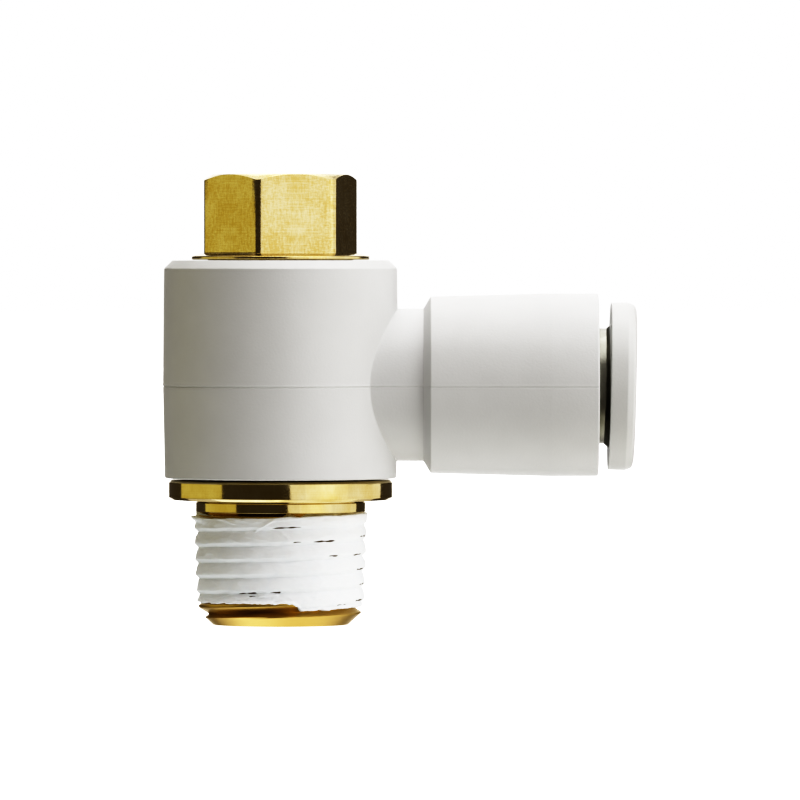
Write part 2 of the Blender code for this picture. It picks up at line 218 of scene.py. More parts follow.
def thread_rows(low, high, pitch, phase, radius_at, flat=0.12, steps=12):
    """Rows of a right-hand thread between two heights, each a function of the angle."""
    rows = []
    for turn in range(math.floor(low / pitch) - 2, math.ceil(high / pitch) + 2):
        for k in range(steps):
            rise = (turn + k / steps + phase) * pitch

            def row(angle, rise=rise):
                height = min(max(rise + pitch * angle / TURN, low), high)
                share = thread_share(height / pitch - angle / TURN - phase, flat)
                return radius_at(height, share), height

            rows.append(row)
    return rows


def turned_mesh(name, section, angles):
    """Mesh turned about Z from a closed section of points, or of functions of the angle, in millimetres."""
    shape = bmesh.new()
    columns = []
    for angle in angles:
        across, along = math.cos(angle), math.sin(angle)
        column = []
        for item in section:
            radius, height = item(angle) if callable(item) else item
            column.append(shape.verts.new((radius * across * MM, radius * along * MM, height * MM)))
        columns.append(column)
    count = len(section)
    for left, right in zip(columns, columns[1:]):
        for k in range(count):
            shape.faces.new((left[k], right[k], right[(k + 1) % count], left[(k + 1) % count]))
    bmesh.ops.remove_doubles(shape, verts=shape.verts, dist=WELD)
    bmesh.ops.dissolve_degenerate(shape, edges=shape.edges, dist=WELD)
    bmesh.ops.recalc_face_normals(shape, faces=shape.faces)
    mesh = bpy.data.meshes.new(name)
    shape.to_mesh(mesh)
    shape.free()
    return mesh


def box_mesh(name, size, centre, turn=0.0):
    shape = bmesh.new()
    bmesh.ops.create_cube(shape, size=MM)
    bmesh.ops.scale(shape, verts=shape.verts, vec=size)
    bmesh.ops.translate(shape, verts=shape.verts, vec=[c * MM for c in centre])
    bmesh.ops.rotate(shape, verts=shape.verts, matrix=Matrix.Rotation(turn, 3, "Z"))
    mesh = bpy.data.meshes.new(name)
    shape.to_mesh(mesh)
    shape.free()
    return mesh


def rod_mesh(name, radius, length, matrix, segments=64):
    shape = bmesh.new()
    bmesh.ops.create_cone(
        shape, segments=segments, radius1=radius, radius2=radius, depth=length, cap_ends=True
    )
    bmesh.ops.transform(shape, verts=shape.verts, matrix=Matrix.Scale(MM, 4) @ matrix)
    mesh = bpy.data.meshes.new(name)
    shape.to_mesh(mesh)
    shape.free()
    return mesh


def new_object(name, mesh):
    thing = bpy.data.objects.new(name, mesh)
    bpy.context.scene.collection.objects.link(thing)
    return thing


def boolean(mesh, other, operation="DIFFERENCE"):
    """Result of a Boolean between two meshes in one frame, as a new mesh. Both of them are used up."""
    name = mesh.name
    first, second = new_object("first", mesh), new_object("second", other)
    modifier = first.modifiers.new("cut", "BOOLEAN")
    modifier.operation = operation
    modifier.object = second
    modifier.solver = "EXACT"
    bpy.context.view_layer.update()
    result = bpy.data.meshes.new_from_object(first.evaluated_get(bpy.context.evaluated_depsgraph_get()))
    for thing in (first, second):
        data = thing.data
        bpy.data.objects.remove(thing)
        bpy.data.meshes.remove(data)
    result.name = name
    return result


def piece(node, mesh, material, on_branch=False, sharp=35, weighted=True):
    """Puts a detailed piece in the scene in place of a CAD node, riding on that node's body."""
    thing = new_object(f"{node}_detail", mesh)
    if on_branch:
        thing.location = (0, 0, BRANCH_Z * MM)
        thing.rotation_euler = (0, TURN / 4, 0)
    mesh.materials.clear()
    mesh.materials.append(material)
    mesh.shade_smooth()
    mesh.set_sharp_from_angle(angle=math.radians(sharp))
    if weighted:
        modifier = thing.modifiers.new("even_shading", "WEIGHTED_NORMAL")
        modifier.keep_sharp = True
        modifier.weight = 80
    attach(thing, frame["nodes"][node]["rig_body"])
    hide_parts(node)
    return thing


# ---------------------------------------------------------------- materials


class Material:
    """A Principled material and the few node steps that the finishes below share."""

    def __init__(self, name, **settings):
        self.data = bpy.data.materials.new(name)
        self.data.use_nodes = True
        self.tree = self.data.node_tree
        self.shader = self.tree.nodes["Principled BSDF"]
        for key, value in settings.items():
            self.shader.inputs[key.replace("_", " ")].default_value = value

    def node(self, kind, inputs=None, **properties):
        made = self.tree.nodes.new(kind)
        for key, value in properties.items():
            setattr(made, key, value)
        for key, value in (inputs or {}).items():
            if isinstance(value, bpy.types.NodeSocket):
                self.tree.links.new(value, made.inputs[key])
            else:
                made.inputs[key].default_value = value
        return made

    def place(self):
        return self.node("ShaderNodeTexCoord").outputs["Object"]

    def math(self, operation, a, b=0.0, c=0.0):
        return self.node("ShaderNodeMath", {0: a, 1: b, 2: c}, operation=operation).outputs[0]

    def mix(self, share, first, second):
        return self.node("ShaderNodeMix", {0: share, 6: first, 7: second}, data_type="RGBA").outputs[2]

    def turned_place(self):
        """Coordinates (distance from the axis, 0, height), so that a pattern runs round the piece."""
        parts = self.node("ShaderNodeSeparateXYZ", {0: self.place()}).outputs
        squares = self.math("ADD", self.math("POWER", parts[0], 2.0), self.math("POWER", parts[1], 2.0))
        distance = self.math("SQRT", squares)
        return self.node("ShaderNodeCombineXYZ", {0: distance, 2: parts[2]}).outputs[0]

    def noise(self, place, size_mm, detail=3.0, stretch=(1, 1, 1)):
        """Noise between 0 and 1 whose features are about this many millimetres across."""
        scale = [1 / (size_mm * MM * s) for s in stretch]
        spread = self.node("ShaderNodeVectorMath", {0: place, 1: scale}, operation="MULTIPLY").outputs[0]
        inputs = {"Vector": spread, "Scale": 1.0, "Detail": detail}
        return self.node("ShaderNodeTexNoise", inputs).outputs[0]

    def ramp(self, value, low, high, start=0.0, end=1.0):
        inputs = {"Value": value, "From Min": start, "From Max": end, "To Min": low, "To Max": high}
        return self.node("ShaderNodeMapRange", inputs).outputs[0]

    def colours(self, value, *stops):
        made = self.node("ShaderNodeValToRGB", {0: value})
        ends = made.color_ramp.elements
        while len(ends) < len(stops):
            ends.new(0.5)
        for end, (position, colour) in zip(ends, stops):
            end.position = position
            end.color = (*colour, 1.0)
        return made.outputs[0]

    def bump(self, height, depth_mm, below=None):
        inputs = {"Height": height, "Distance": depth_mm * MM, "Strength": 1.0}
        if below is not None:
            inputs["Normal"] = below
        return self.node("ShaderNodeBump", inputs).outputs[0]

    def set(self, **sockets):
        for key, value in sockets.items():
            self.tree.links.new(value, self.shader.inputs[key.replace("_", " ")])
        return self.data


def brass_finish(name, roughness, marks, grain, mottle, rough_below=None):
    """Machined brass: tool marks that run round the axis, a fine grain and slight patches of tarnish.

    Below the height rough_below, in millimetres, the brass is as rough as a cut thread.
    """
    made = Material(name, Metallic=1.0)
    turned = made.noise(made.turned_place(), 0.05, 2.0)
    patches = made.noise(made.place(), 1.6, 4.0)
    fine = made.noise(made.place(), 0.16, 5.0)
    brushed = made.noise(made.place(), 0.10, 4.0, stretch=(1, 1, 3.5))
    lines = made.noise(made.turned_place(), 0.09, 3.0)
    hatched = made.math("ADD", brushed, lines)
    mottled = made.math("MULTIPLY_ADD", made.ramp(hatched, -1.0, 1.0, 0.7, 1.3), mottle, patches)
    colour = made.colours(mottled, (0.24, (0.49, 0.375, 0.145)), (0.76, (0.60, 0.515, 0.30)))
    rough = made.ramp(fine, roughness * 0.7, roughness * 1.4, 0.3, 0.7)
    if rough_below is not None:
        height = made.node("ShaderNodeSeparateXYZ", {0: made.place()}).outputs[2]
        thread = made.math("LESS_THAN", height, rough_below * MM)
        rougher = 0.26
        rough = made.math("ADD", rough, made.math("MULTIPLY", thread, rougher))
        colour = made.mix(thread, colour, (0.55, 0.39, 0.13, 1))
    grained = made.bump(fine, grain)
    marked = made.bump(turned, marks, below=grained)
    return made.set(Base_Color=colour, Roughness=rough, Normal=marked)


def plastic_finish(name, shade, roughness, shade_band=None):
    """Satin moulded plastic: a fine grain, faint cloudiness and a slightly uneven gloss.

    The last argument paints shade: a dark grey, faintly metallic band round the groove under the button's
    rim, where the groove lies in shade. The band is given by the middle and half the width of the band of
    radii that it lies in, and by its top, in millimetres.
    """
    made = Material(name, IOR=1.5)
    cloud = made.noise(made.place(), 2.5, 3.0)
    fine = made.noise(made.place(), 0.13, 4.0)
    swirl = made.noise(made.place(), 0.7, 3.0)
    darker = tuple(c * 0.965 for c in shade)
    colour = made.colours(cloud, (0.3, darker), (0.7, shade))
    rough = made.ramp(swirl, roughness * 0.88, roughness * 1.12, 0.3, 0.7)
    normal = made.bump(fine, 0.009, below=made.bump(swirl, 0.004))
    if shade_band is None:
        return made.set(Base_Color=colour, Roughness=rough, Normal=normal)
    middle, half, top = shade_band
    # Painted shade: a dark grey, faintly metallic band where the groove under the button's rim lies in
    # shade.
    parts = made.node("ShaderNodeSeparateXYZ", {0: made.turned_place()}).outputs
    near = made.math("COMPARE", parts[0], middle * MM, half * MM)
    in_shade_band = made.math("MULTIPLY", near, made.math("LESS_THAN", parts[2], top * MM))
    colour = made.mix(in_shade_band, colour, (0.34, 0.335, 0.29, 1))
    rough = made.math("MULTIPLY_ADD", in_shade_band, -0.04, rough)
    return made.set(Base_Color=colour, Roughness=rough, Normal=normal, Metallic=in_shade_band)


def sealant_finish():
    """White sealant film: matt, with stretched fibres, a tone slightly darker where the folds sink, and
    painted shade in the slits.
    """
    made = Material("sealant_film", IOR=1.38, Subsurface_Weight=0.35, Subsurface_Scale=0.5 * MM)
    made.shader.inputs["Subsurface Radius"].default_value = (1.0, 1.0, 1.0)
    fibres = made.noise(made.place(), 0.12, 5.0, stretch=(3, 3, 0.6))
    folds = made.noise(made.place(), 0.5, 4.0)
    film = made.colours(folds, (0.20, (0.91, 0.945, 0.985)), (0.55, (0.95, 0.975, 0.998)))
    slit_shade = made.node("ShaderNodeAttribute", attribute_name="slit_shade").outputs["Fac"]
    # Painted shade: the slits are coloured dark brown, for the shadow inside them.
    colour = made.mix(made.ramp(slit_shade, 0.0, 1.0, 0.35, 0.8), film, (0.09, 0.065, 0.035, 1))
    rough = made.ramp(fibres, 0.38, 0.62, 0.3, 0.7)
    creased = made.bump(folds, 0.02)
    return made.set(Base_Color=colour, Roughness=rough, Normal=made.bump(fibres, 0.012, below=creased))


def rubber_finish():
    made = Material("nitrile_rubber", IOR=1.5)
    dust = made.noise(made.place(), 0.6, 5.0)
    fine = made.noise(made.place(), 0.05, 3.0)
    colour = made.colours(dust, (0.35, (0.014, 0.014, 0.015)), (0.8, (0.045, 0.044, 0.042)))
    rough = made.ramp(dust, 0.42, 0.62, 0.3, 0.7)
    return made.set(Base_Color=colour, Roughness=rough, Normal=made.bump(fine, 0.003))


def steel_finish():
    made = Material("pressed_steel", Metallic=1.0)
    turned = made.noise(made.turned_place(), 0.04, 2.0)
    patches = made.noise(made.place(), 1.2, 4.0)
    colour = made.colours(patches, (0.3, (0.55, 0.55, 0.54)), (0.7, (0.66, 0.66, 0.64)))
    rough = made.ramp(turned, 0.16, 0.34, 0.3, 0.7)
    return made.set(Base_Color=colour, Roughness=rough, Normal=made.bump(turned, 0.0015))


# ---------------------------------------------------------------- brass core


def port_crest(height):
    return PORT_GAUGE_RADIUS + (height - PORT_GAUGE_HEIGHT) * PORT_TAPER


def port_root(height):
    return port_crest(height) - PORT_DEPTH


def port_radius(height, share):
    """The taper thread, chamfered at the port end and run out under the neck."""
    run_out = min(1.0, (THREAD_TOP - height) / 0.6)
    radius = port_crest(height) - PORT_DEPTH * run_out * (1 - share)
    return min(radius, PORT_END_RADIUS + 1.125 * height)


def inner_thread(low, high, pitch, crest, depth):
    return thread_rows(low, high, pitch, 0.5, lambda h, share: crest - depth * (1 - share), 0.05, 8)


def stud_mesh():
    section = soft([(PORT_BORE + 0.1, 0.02), (PORT_BORE + 0.3, 0.0), (PORT_END_RADIUS - 0.02, 0.0)], 0.03)
    section += thread_rows(0.0, THREAD_TOP, PORT_PITCH, PORT_PHASE, port_radius)
    section += soft(
        [
            (NECK_RADIUS - 0.22, THREAD_TOP),
            (NECK_RADIUS, THREAD_TOP + 0.2, 0.06),
            (NECK_RADIUS, FLANGE_LOW - 0.16, 0.04),
            (NECK_RADIUS - 0.07, FLANGE_LOW - 0.1, 0.04),
            (NECK_RADIUS - 0.05, FLANGE_LOW, 0.04),
            (FLANGE_RADIUS - FLANGE_CHAMFER, FLANGE_LOW, 0.05),
            (FLANGE_RADIUS, FLANGE_LOW + 0.15, 0.05),
            (FLANGE_RADIUS, FLANGE_HIGH - 0.15, 0.05),
            (FLANGE_RADIUS - FLANGE_CHAMFER, FLANGE_HIGH, 0.05),
            (SHANK_RADIUS, FLANGE_HIGH, 0.1),
            (SHANK_RADIUS, LOWER_GROOVE),
            (GROOVE_ROOT, LOWER_GROOVE),
            (GROOVE_ROOT, LOWER_GROOVE + GROOVE_LENGTH),
            (SHANK_RADIUS, LOWER_GROOVE + GROOVE_LENGTH),
            (SHANK_RADIUS, SLEEVE_TOP, 0.1),
            (3.62, SLEEVE_TOP),
        ]
    )
    section += inner_thread(HEAD_FOOT, SLEEVE_TOP - 0.1, SLEEVE_PITCH, 3.51, SLEEVE_THREAD_DEPTH)[::-1]
    section += soft(
        [
            (SLEEVE_BORE, HEAD_FOOT - 0.1),
            (SLEEVE_BORE, SLEEVE_FLOOR, 0.3),
            (PORT_BORE, SLEEVE_FLOOR - 0.3, 0.2),
            (PORT_BORE, 0.2, 0.1),
            (PORT_BORE + 0.1, 0.04),
        ]
    )
    mesh = turned_mesh("stud", section, even(240))
    for k in range(2):
        lay = Matrix.Translation((0, 0, WINDOW_Z)) @ Matrix.Rotation(TURN / 8 + k * TURN / 4, 4, "Z")
        drill = rod_mesh("window", WINDOW_RADIUS, 12.0, lay @ Matrix.Rotation(TURN / 4, 4, "Y"))
        mesh = boolean(mesh, drill)
    return mesh


# Slits in the sealant just below a crest: azimuth from the front in degrees, height, half length in degrees
# and depth in millimetres. The deep ones bare the brass.
TEARS = (
    (-23, 2.00, 7, 0.05),
    (-18, 1.82, 4, 0.04),
    (-3, 2.05, 4, 0.05),
    (5, 5.80, 10, 0.03),
    (12, 4.96, 3, 0.03),
    (32, 4.99, 9, 0.045),
    (39, 4.14, 4, 0.03),
    (49, 1.30, 5, 0.03),
    (66, 4.17, 7, 0.03),
    (74, 5.21, 7, 0.03),
    (71, 3.32, 7, 0.03),
    (74, 2.43, 6, 0.03),
    (71, 1.50, 7, 0.03),
    (150, 3.7, 12, 0.10),
    (-130, 2.6, 9, 0.17),
    (-160, 4.6, 10, 0.03),
)

# Folds in the film: azimuth and height of both ends, and how far the fold stands out.
FOLDS = (
    (-17, 5.49, -4, 6.13, 0.07),
    (-4, 6.13, 16, 6.26, 0.05),
    (-60, 5.52, -17, 5.49, 0.03),
    (-44, 6.22, -31, 5.93, 0.05),
    (1, 5.44, 6, 5.10, 0.05),
    (-48, 1.62, -34, 1.90, 0.06),
    (-40, 1.45, -20, 1.66, 0.06),
    (-14, 1.72, -2, 1.80, 0.06),
    (30, 6.05, 62, 6.22, 0.03),
    (120, 2.1, 160, 2.5, 0.05),
    (-150, 5.2, -110, 5.9, 0.05),
)


def azimuth_of(angle):
    """Degrees from the front (-Y) towards +X, between -180 and 180."""
    return (math.degrees(angle) + 90 + 180) % 360 - 180


def turned_from(azimuth, centre):
    """Degrees from one azimuth to another the short way round."""
    return (azimuth - centre + 180) % 360 - 180


def sealant_low(angle):
    """Ragged lower edge of the sealant: one turn's worth follows the thread, with a torn step in front."""
    azimuth = azimuth_of(angle)
    climb = PORT_PITCH * azimuth / 360
    step = smooth(8, 17, azimuth) * (1 - smooth(165, 180, azimuth))
    ragged = 0.08 * noise.noise((math.cos(angle) * 9, math.sin(angle) * 9, 2.3))
    ragged += 0.05 * noise.noise((math.cos(angle) * 26, math.sin(angle) * 26, 5.1))
    return SEALANT_LOW - 0.46 * step + climb * step + ragged


def sealant_high(angle):
    """The upper edge climbs with the winding, and drops back at the back."""
    azimuth = azimuth_of(angle)
    climb = PORT_PITCH * azimuth / 360 * (1 - smooth(120, 180, abs(azimuth)))
    ragged = 0.05 * noise.noise((math.cos(angle) * 6, math.sin(angle) * 6, 8.3))
    flap = 0.14 * math.exp(-(((azimuth + 82) / 16) ** 2))
    return min(SEALANT_HIGH + 0.75 * climb + ragged + flap, SEALANT_HIGH + 0.18)


def creases(x, y, z):
    """Sharp crease lines, 1 on a line and 0 away from it."""
    return (1 - abs(noise.noise((x, y, z)))) ** 9


def wrinkles(x, y, z):
    """The film stretched round the thread: long soft swells and fine sharp creases that run across them."""
    swell = 0.040 * noise.noise((x * 0.7, y * 0.7, z * 2.4))
    swell += 0.020 * noise.noise((x * 1.9 + z, y * 1.9, z * 3.6 + 7))
    slanted = z * 1.5 + 0.35 * (x - y)
    swell += 0.030 * creases(x * 0.45, y * 0.45, slanted)
    swell += 0.016 * creases(x * 1.1 + 5, y * 1.1, z * 3.4 - 0.5 * x)
    return swell + 0.007 * noise.noise((x * 7, y * 7, z * 8))


def fold_height(azimuth, height):
    """How far the folds lift the film at a place. Each rises slowly from above and drops off below."""
    lift = 0.0
    for start, low, end, high, tall in FOLDS:
        along = turned_from(azimuth, start) / (end - start)
        if -0.15 < along < 1.15:
            away = height - (low + (high - low) * along)
            across = math.exp(-((away / 0.14) ** 2)) if away > 0 else math.exp(-((away / 0.03) ** 2))
            lift += tall * across * smooth(-0.15, 0.1, along) * (1 - smooth(0.9, 1.15, along))
    return lift


def tear_at(azimuth, height):
    """How far in a slit a place is, from 0 outside it to 1, and how deep it is sunk there."""
    inside, depth = 0.0, 0.0
    for centre, level, half, deep in TEARS:
        away = turned_from(azimuth, centre)
        if abs(away) < half * 1.4:
            rise = PORT_PITCH * away / 360 + 0.03 * noise.noise((azimuth * 0.15, level, 3.0))
            tall = 0.022 + 0.04 * noise.noise((azimuth * 0.22, centre, 0.5))
            across = 1 - smooth(tall, tall + 0.04, abs(height - level - rise + 0.04))
            here = across * (1 - smooth(half * 0.6, half * 1.3, abs(away)))
            inside, depth = max(inside, here), max(depth, here * deep)
    return inside, depth


def sealant_outside(angle, height):
    """Radius of the film's outer face, which falls below the thread wherever the film is missing."""
    turns = (height / PORT_PITCH - angle / TURN - PORT_PHASE) % 1
    share = 1 - (turns / 0.78) ** 1.7 if turns < 0.78 else ((turns - 0.78) / 0.22) ** 0.8
    run_out = smooth(0, 0.7, THREAD_TOP - height)
    x, y = 5 * math.cos(angle), 5 * math.sin(angle)
    azimuth = azimuth_of(angle)
    radius = port_crest(height) + FILM - FILM_SAG * (1 - share) * run_out
    radius += wrinkles(x, y, height) + fold_height(azimuth, height) - tear_at(azimuth, height)[1]
    low, high = sealant_low(angle), sealant_high(angle)
    radius -= 0.8 * (1 - smooth(low, low + 0.05, height)) + 0.35 * smooth(high - 0.04, high, height)
    lip = 0.15 * (1 - smooth(16, 40, abs(azimuth + 14)))
    radius += (0.03 + lip) * math.exp(-(((height - low - 0.11) / 0.08) ** 2))
    curl = math.exp(-(((azimuth + 80) / 18) ** 2)) * smooth(6.0, 6.3, height + 0.009 * (azimuth + 84))
    return radius + 0.24 * curl


def sealant_mesh():
    rows = 190
    low, high = 0.55, 6.56

    def inside(height):
        return lambda angle: (port_root(height) - 0.12, height)

    def outside(height):
        return lambda angle: (max(sealant_outside(angle, height), port_root(height) - 0.1), height)

    heights = [low + (high - low) * k / rows for k in range(rows + 1)]
    section = [outside(h) for h in heights] + [inside(h) for h in heights[::-12]]
    mesh = turned_mesh("sealant", section, even(480))
    # How far each point lies in a slit, for the painted shade there.
    slit_shade = mesh.attributes.new("slit_shade", "FLOAT", "POINT")
    for vertex, item in zip(mesh.vertices, slit_shade.data):
        x, y, height = vertex.co / MM
        item.value = tear_at(azimuth_of(math.atan2(y, x)), height)[0]
    return mesh


def hexagon_radius(angle):
    """Distance from the axis to the hexagon, whose corners are rounded."""
    offset = abs((angle - HEX_TURN + TURN / 12) % (TURN / 6) - TURN / 12)
    centre = (HEX_APOTHEM - HEX_CORNER) / math.cos(TURN / 12)
    meets = math.atan2(HEX_CORNER * math.sin(TURN / 12), centre + HEX_CORNER * math.cos(TURN / 12))
    if offset < meets:
        return centre * math.cos(offset) + math.sqrt(HEX_CORNER**2 - (centre * math.sin(offset)) ** 2)
    return HEX_APOTHEM / math.cos(TURN / 12 - offset)


def hexagon_angles():
    """Columns that are close together round each corner and spread over the flats."""
    near = math.radians(4.4)
    far = TURN / 12
    steps = [near * k / 8 for k in range(9)] + [near + (far - near) * k / 16 for k in range(1, 17)]
    corner = [-s for s in steps[:0:-1]] + steps
    angles = [HEX_TURN + side * TURN / 6 + s for side in range(6) for s in corner[:-1]]
    return angles + [angles[0] + TURN]


def head_mesh():
    flat_top = HEX_APOTHEM - 0.05

    def at(lift, inset=0.0):
        return lambda angle: (hexagon_radius(angle) - inset, lift)

    def crown(share):
        def point(angle):
            radius = hexagon_radius(angle)
            drop = (radius - flat_top) * HEX_CHAMFER
            return radius - (radius - flat_top) * share, HEAD_HIGH - drop * (1 - share)

        return point

    def under_crown(angle):
        radius = hexagon_radius(angle)
        return radius, HEAD_HIGH - (radius - flat_top) * HEX_CHAMFER - 0.04

    section = [(2.20, HEAD_FOOT + 0.05)]
    section += soft([(2.25, HEAD_FOOT), (2.75, HEAD_FOOT), (3.0, HEAD_FOOT + 0.25)], 0.05)
    section += inner_thread(HEAD_FOOT + 0.3, SLEEVE_TOP - 0.25, SLEEVE_PITCH, 3.42, SLEEVE_THREAD_DEPTH)
    section += soft(
        [
            (3.02, SLEEVE_TOP - 0.24),
            (3.02, SLEEVE_TOP + 0.05),
            (SHANK_RADIUS, SLEEVE_TOP + 0.05),
            (SHANK_RADIUS, UPPER_GROOVE),
            (GROOVE_ROOT, UPPER_GROOVE),
            (GROOVE_ROOT, UPPER_GROOVE + GROOVE_LENGTH),
            (SHANK_RADIUS, UPPER_GROOVE + GROOVE_LENGTH),
            (SHANK_RADIUS, BODY_HIGH + 0.03),
            (COLLAR_RADIUS, BODY_HIGH + 0.03, 0.07),
            (COLLAR_RADIUS, BODY_HIGH + 0.24, 0.09),
            (4.66, BODY_HIGH + 0.38),
        ]
    )
    section += [at(HEAD_LOW - 0.06, -0.02), at(HEAD_LOW - 0.02, -0.004), at(HEAD_LOW + 0.04)]
    section += [under_crown, crown(0.03), crown(0.5), crown(0.97)]
    section += soft(
        [
            (flat_top - 0.02, HEAD_HIGH),
            (2.5, HEAD_HIGH, 0.05),
            (HEAD_BORE, HEAD_HIGH - 0.35, 0.05),
            (HEAD_BORE, 23.1),
        ]
    )
    section += inner_thread(19.7, 23.0, NEEDLE_PITCH, 2.08, NEEDLE_THREAD_DEPTH)[::-1]
    section += [(2.20, 19.6)]
    return turned_mesh("head", section, hexagon_angles())


def needle_mesh():
    section = [(0.0, 7.3)] + soft(
        [
            (0.02, 7.3),
            (0.45, 7.4, 0.1),
            (1.24, 10.1, 0.1),
            (1.55, 10.5, 0.1),
            (1.55, 14.5),
            (2.13, 14.55),
            (2.13, 15.2),
            (1.45, 15.2),
            (1.45, 16.2),
            (2.13, 16.2),
            (2.13, 16.95),
            (1.60, 17.05),
            (1.60, 17.2),
        ],
        0.04,
    )
    section += inner_thread(17.2, NEEDLE_TOP - 0.25, NEEDLE_PITCH, 2.0, NEEDLE_THREAD_DEPTH)
    section += soft([(1.69, NEEDLE_TOP - 0.24), (1.66, NEEDLE_TOP, 0.08), (0.02, NEEDLE_TOP)], 0.05)
    section += [(0.0, NEEDLE_TOP)]
    mesh = turned_mesh("needle", section, even(96))
    return boolean(mesh, box_mesh("slot", (5.0, 0.5, 1.4), (0, 0, NEEDLE_TOP)))


def seat_mesh():
    section = ring_of(
        [
            (SEAT_BORE, 6.6),
            (2.25, 6.6),
            (2.25, 7.1),
            (1.85, 7.2),
            (1.85, 9.0),
            (2.95, 9.0),
            (2.95, 10.4),
            (1.80, 10.4),
            (SEAT_BORE, 10.05),
        ],
        0.04,
    )
    mesh = turned_mesh("seat", section, even(120))
    for k in range(4):
        lay = Matrix.Rotation((k + 0.2) * TURN / 4, 4, "Z") @ Matrix.Translation((3.0, 0, 9.7))
        mesh = boolean(mesh, rod_mesh("notch", 0.75, 2.0, lay, 48))
    return mesh


def lip_seal_mesh():
    corners = [
        (1.92, 8.92),
        (1.92, 7.32),
        (2.10, 7.32),
        (2.22, 8.20),
        (2.70, 7.22),
        (2.92, 7.22),
        (2.92, 7.55),
        (2.55, 8.92),
    ]
    return turned_mesh("lip_seal", ring_of(corners, 0.06), even(120))


def o_ring_mesh(ring_radius, cord_radius, height):
    """O-ring with the faint moulding flash that real ones have inside and outside."""
    ridge = 0.006
    steps = 32
    section = []
    for k in range(steps):
        angle = TURN * k / steps
        radius = cord_radius if k % (steps // 2) == 0 else cord_radius - ridge
        section.append((ring_radius + radius * math.cos(angle), height + radius * math.sin(angle)))
    return turned_mesh("o_ring", section, even(144))


# ---------------------------------------------------------------- white body


def ring_radius(height):
    """The ring is widest at the parting plane and drafted towards both ends."""
    draft = 0.009 if height > BRANCH_Z else 0.020
    return RING_RADIUS - draft * abs(height - BRANCH_Z)


def flash(distance, angle):
    """Moulding flash at a distance from the parting plane: the upper half overhangs a fine groove."""
    uneven = 1 + 0.35 * noise.noise((5 * math.cos(angle), 5 * math.sin(angle), 4.4))
    if distance > -0.02:
        return 0.019 * uneven * math.exp(-((distance / 0.06) ** 2))
    return -0.030 * uneven * math.exp(-(((distance + 0.07) / 0.045) ** 2))


def ring_mesh():
    near = [k * 0.015 for k in range(-12, 13)]

    def beside_seam(distance):
        level = BRANCH_Z + distance
        return lambda angle: (ring_radius(level) + flash(distance, angle), level)

    section = [(0.0, BODY_LOW)]
    section += soft(
        [
            (4.0, BODY_LOW),
            (ring_radius(BODY_LOW), BODY_LOW, 0.12),
            (ring_radius(BRANCH_Z - SEAM_REACH), BRANCH_Z - SEAM_REACH),
        ]
    )
    section += [beside_seam(d) for d in near]
    section += soft(
        [
            (ring_radius(BRANCH_Z + SEAM_REACH), BRANCH_Z + SEAM_REACH),
            (ring_radius(BODY_HIGH), BODY_HIGH - RING_CHAMFER, 0.12),
            (ring_radius(BODY_HIGH) - RING_CHAMFER, BODY_HIGH, 0.12),
            (4.0, BODY_HIGH),
        ]
    )
    section += [(0.0, BODY_HIGH)]
    return turned_mesh("body", section, even(256))


def branch_mesh():
    """Branch with a fillet where it leaves the ring. Its flash lines lie in the parting plane."""
    fillet = 0.05
    steps = [math.radians(78) * k / 7 for k in range(7, -1, -1)]

    def seam(angle):
        return 0.7 * flash(-NECK_OF_BRANCH * math.cos(angle), angle)

    def foot(t):
        def point(angle):
            radius = NECK_OF_BRANCH + fillet * (1 - math.cos(t)) + seam(angle)
            across = radius * math.sin(angle)
            level = BRANCH_Z - radius * math.cos(angle)
            out = math.sqrt(max(0.0, ring_radius(level) ** 2 - across**2))
            return radius, out + fillet * (1 - math.sin(t))

        return point

    def sunk(angle):
        radius, out = foot(steps[0])(angle)
        return radius - 0.02, out - 0.6

    def round_part(points):
        return [lambda angle, p=p: (p[0] + seam(angle), p[1]) for p in points]

    section = [(0.0, 3.0), lambda angle: (sunk(angle)[0] * 0.98, 3.0), sunk]
    section += [foot(t) for t in steps]
    section += round_part(
        soft(
            [
                (NECK_OF_BRANCH, 7.2),
                (NECK_OF_BRANCH, SOCKET_LOW, 0.06),
                (5.13, SOCKET_LOW + 0.42, 0.1),
                (SOCKET_RADIUS + 0.01, 15.7, 2.0),
                (SOCKET_RADIUS, SOCKET_HIGH, 0.13),
                (4.9, SOCKET_HIGH),
            ]
        )
    )
    section += [(0.0, SOCKET_HIGH)]
    beside = 2.4
    near = [math.radians(beside * k / 12) for k in range(-12, 13)]
    spread = [math.radians(beside + (180 - 2 * beside) * k / 110) for k in range(1, 110)]
    half = near + spread
    angles = [TURN / 4 + a for a in half] + [3 * TURN / 4 + a for a in half]
    return turned_mesh("branch", section, angles + [angles[0] + TURN])


def along_x(mesh):
    mesh.transform(Matrix.Translation((0, 0, BRANCH_Z * MM)) @ Matrix.Rotation(TURN / 4, 4, "Y"))
    return mesh


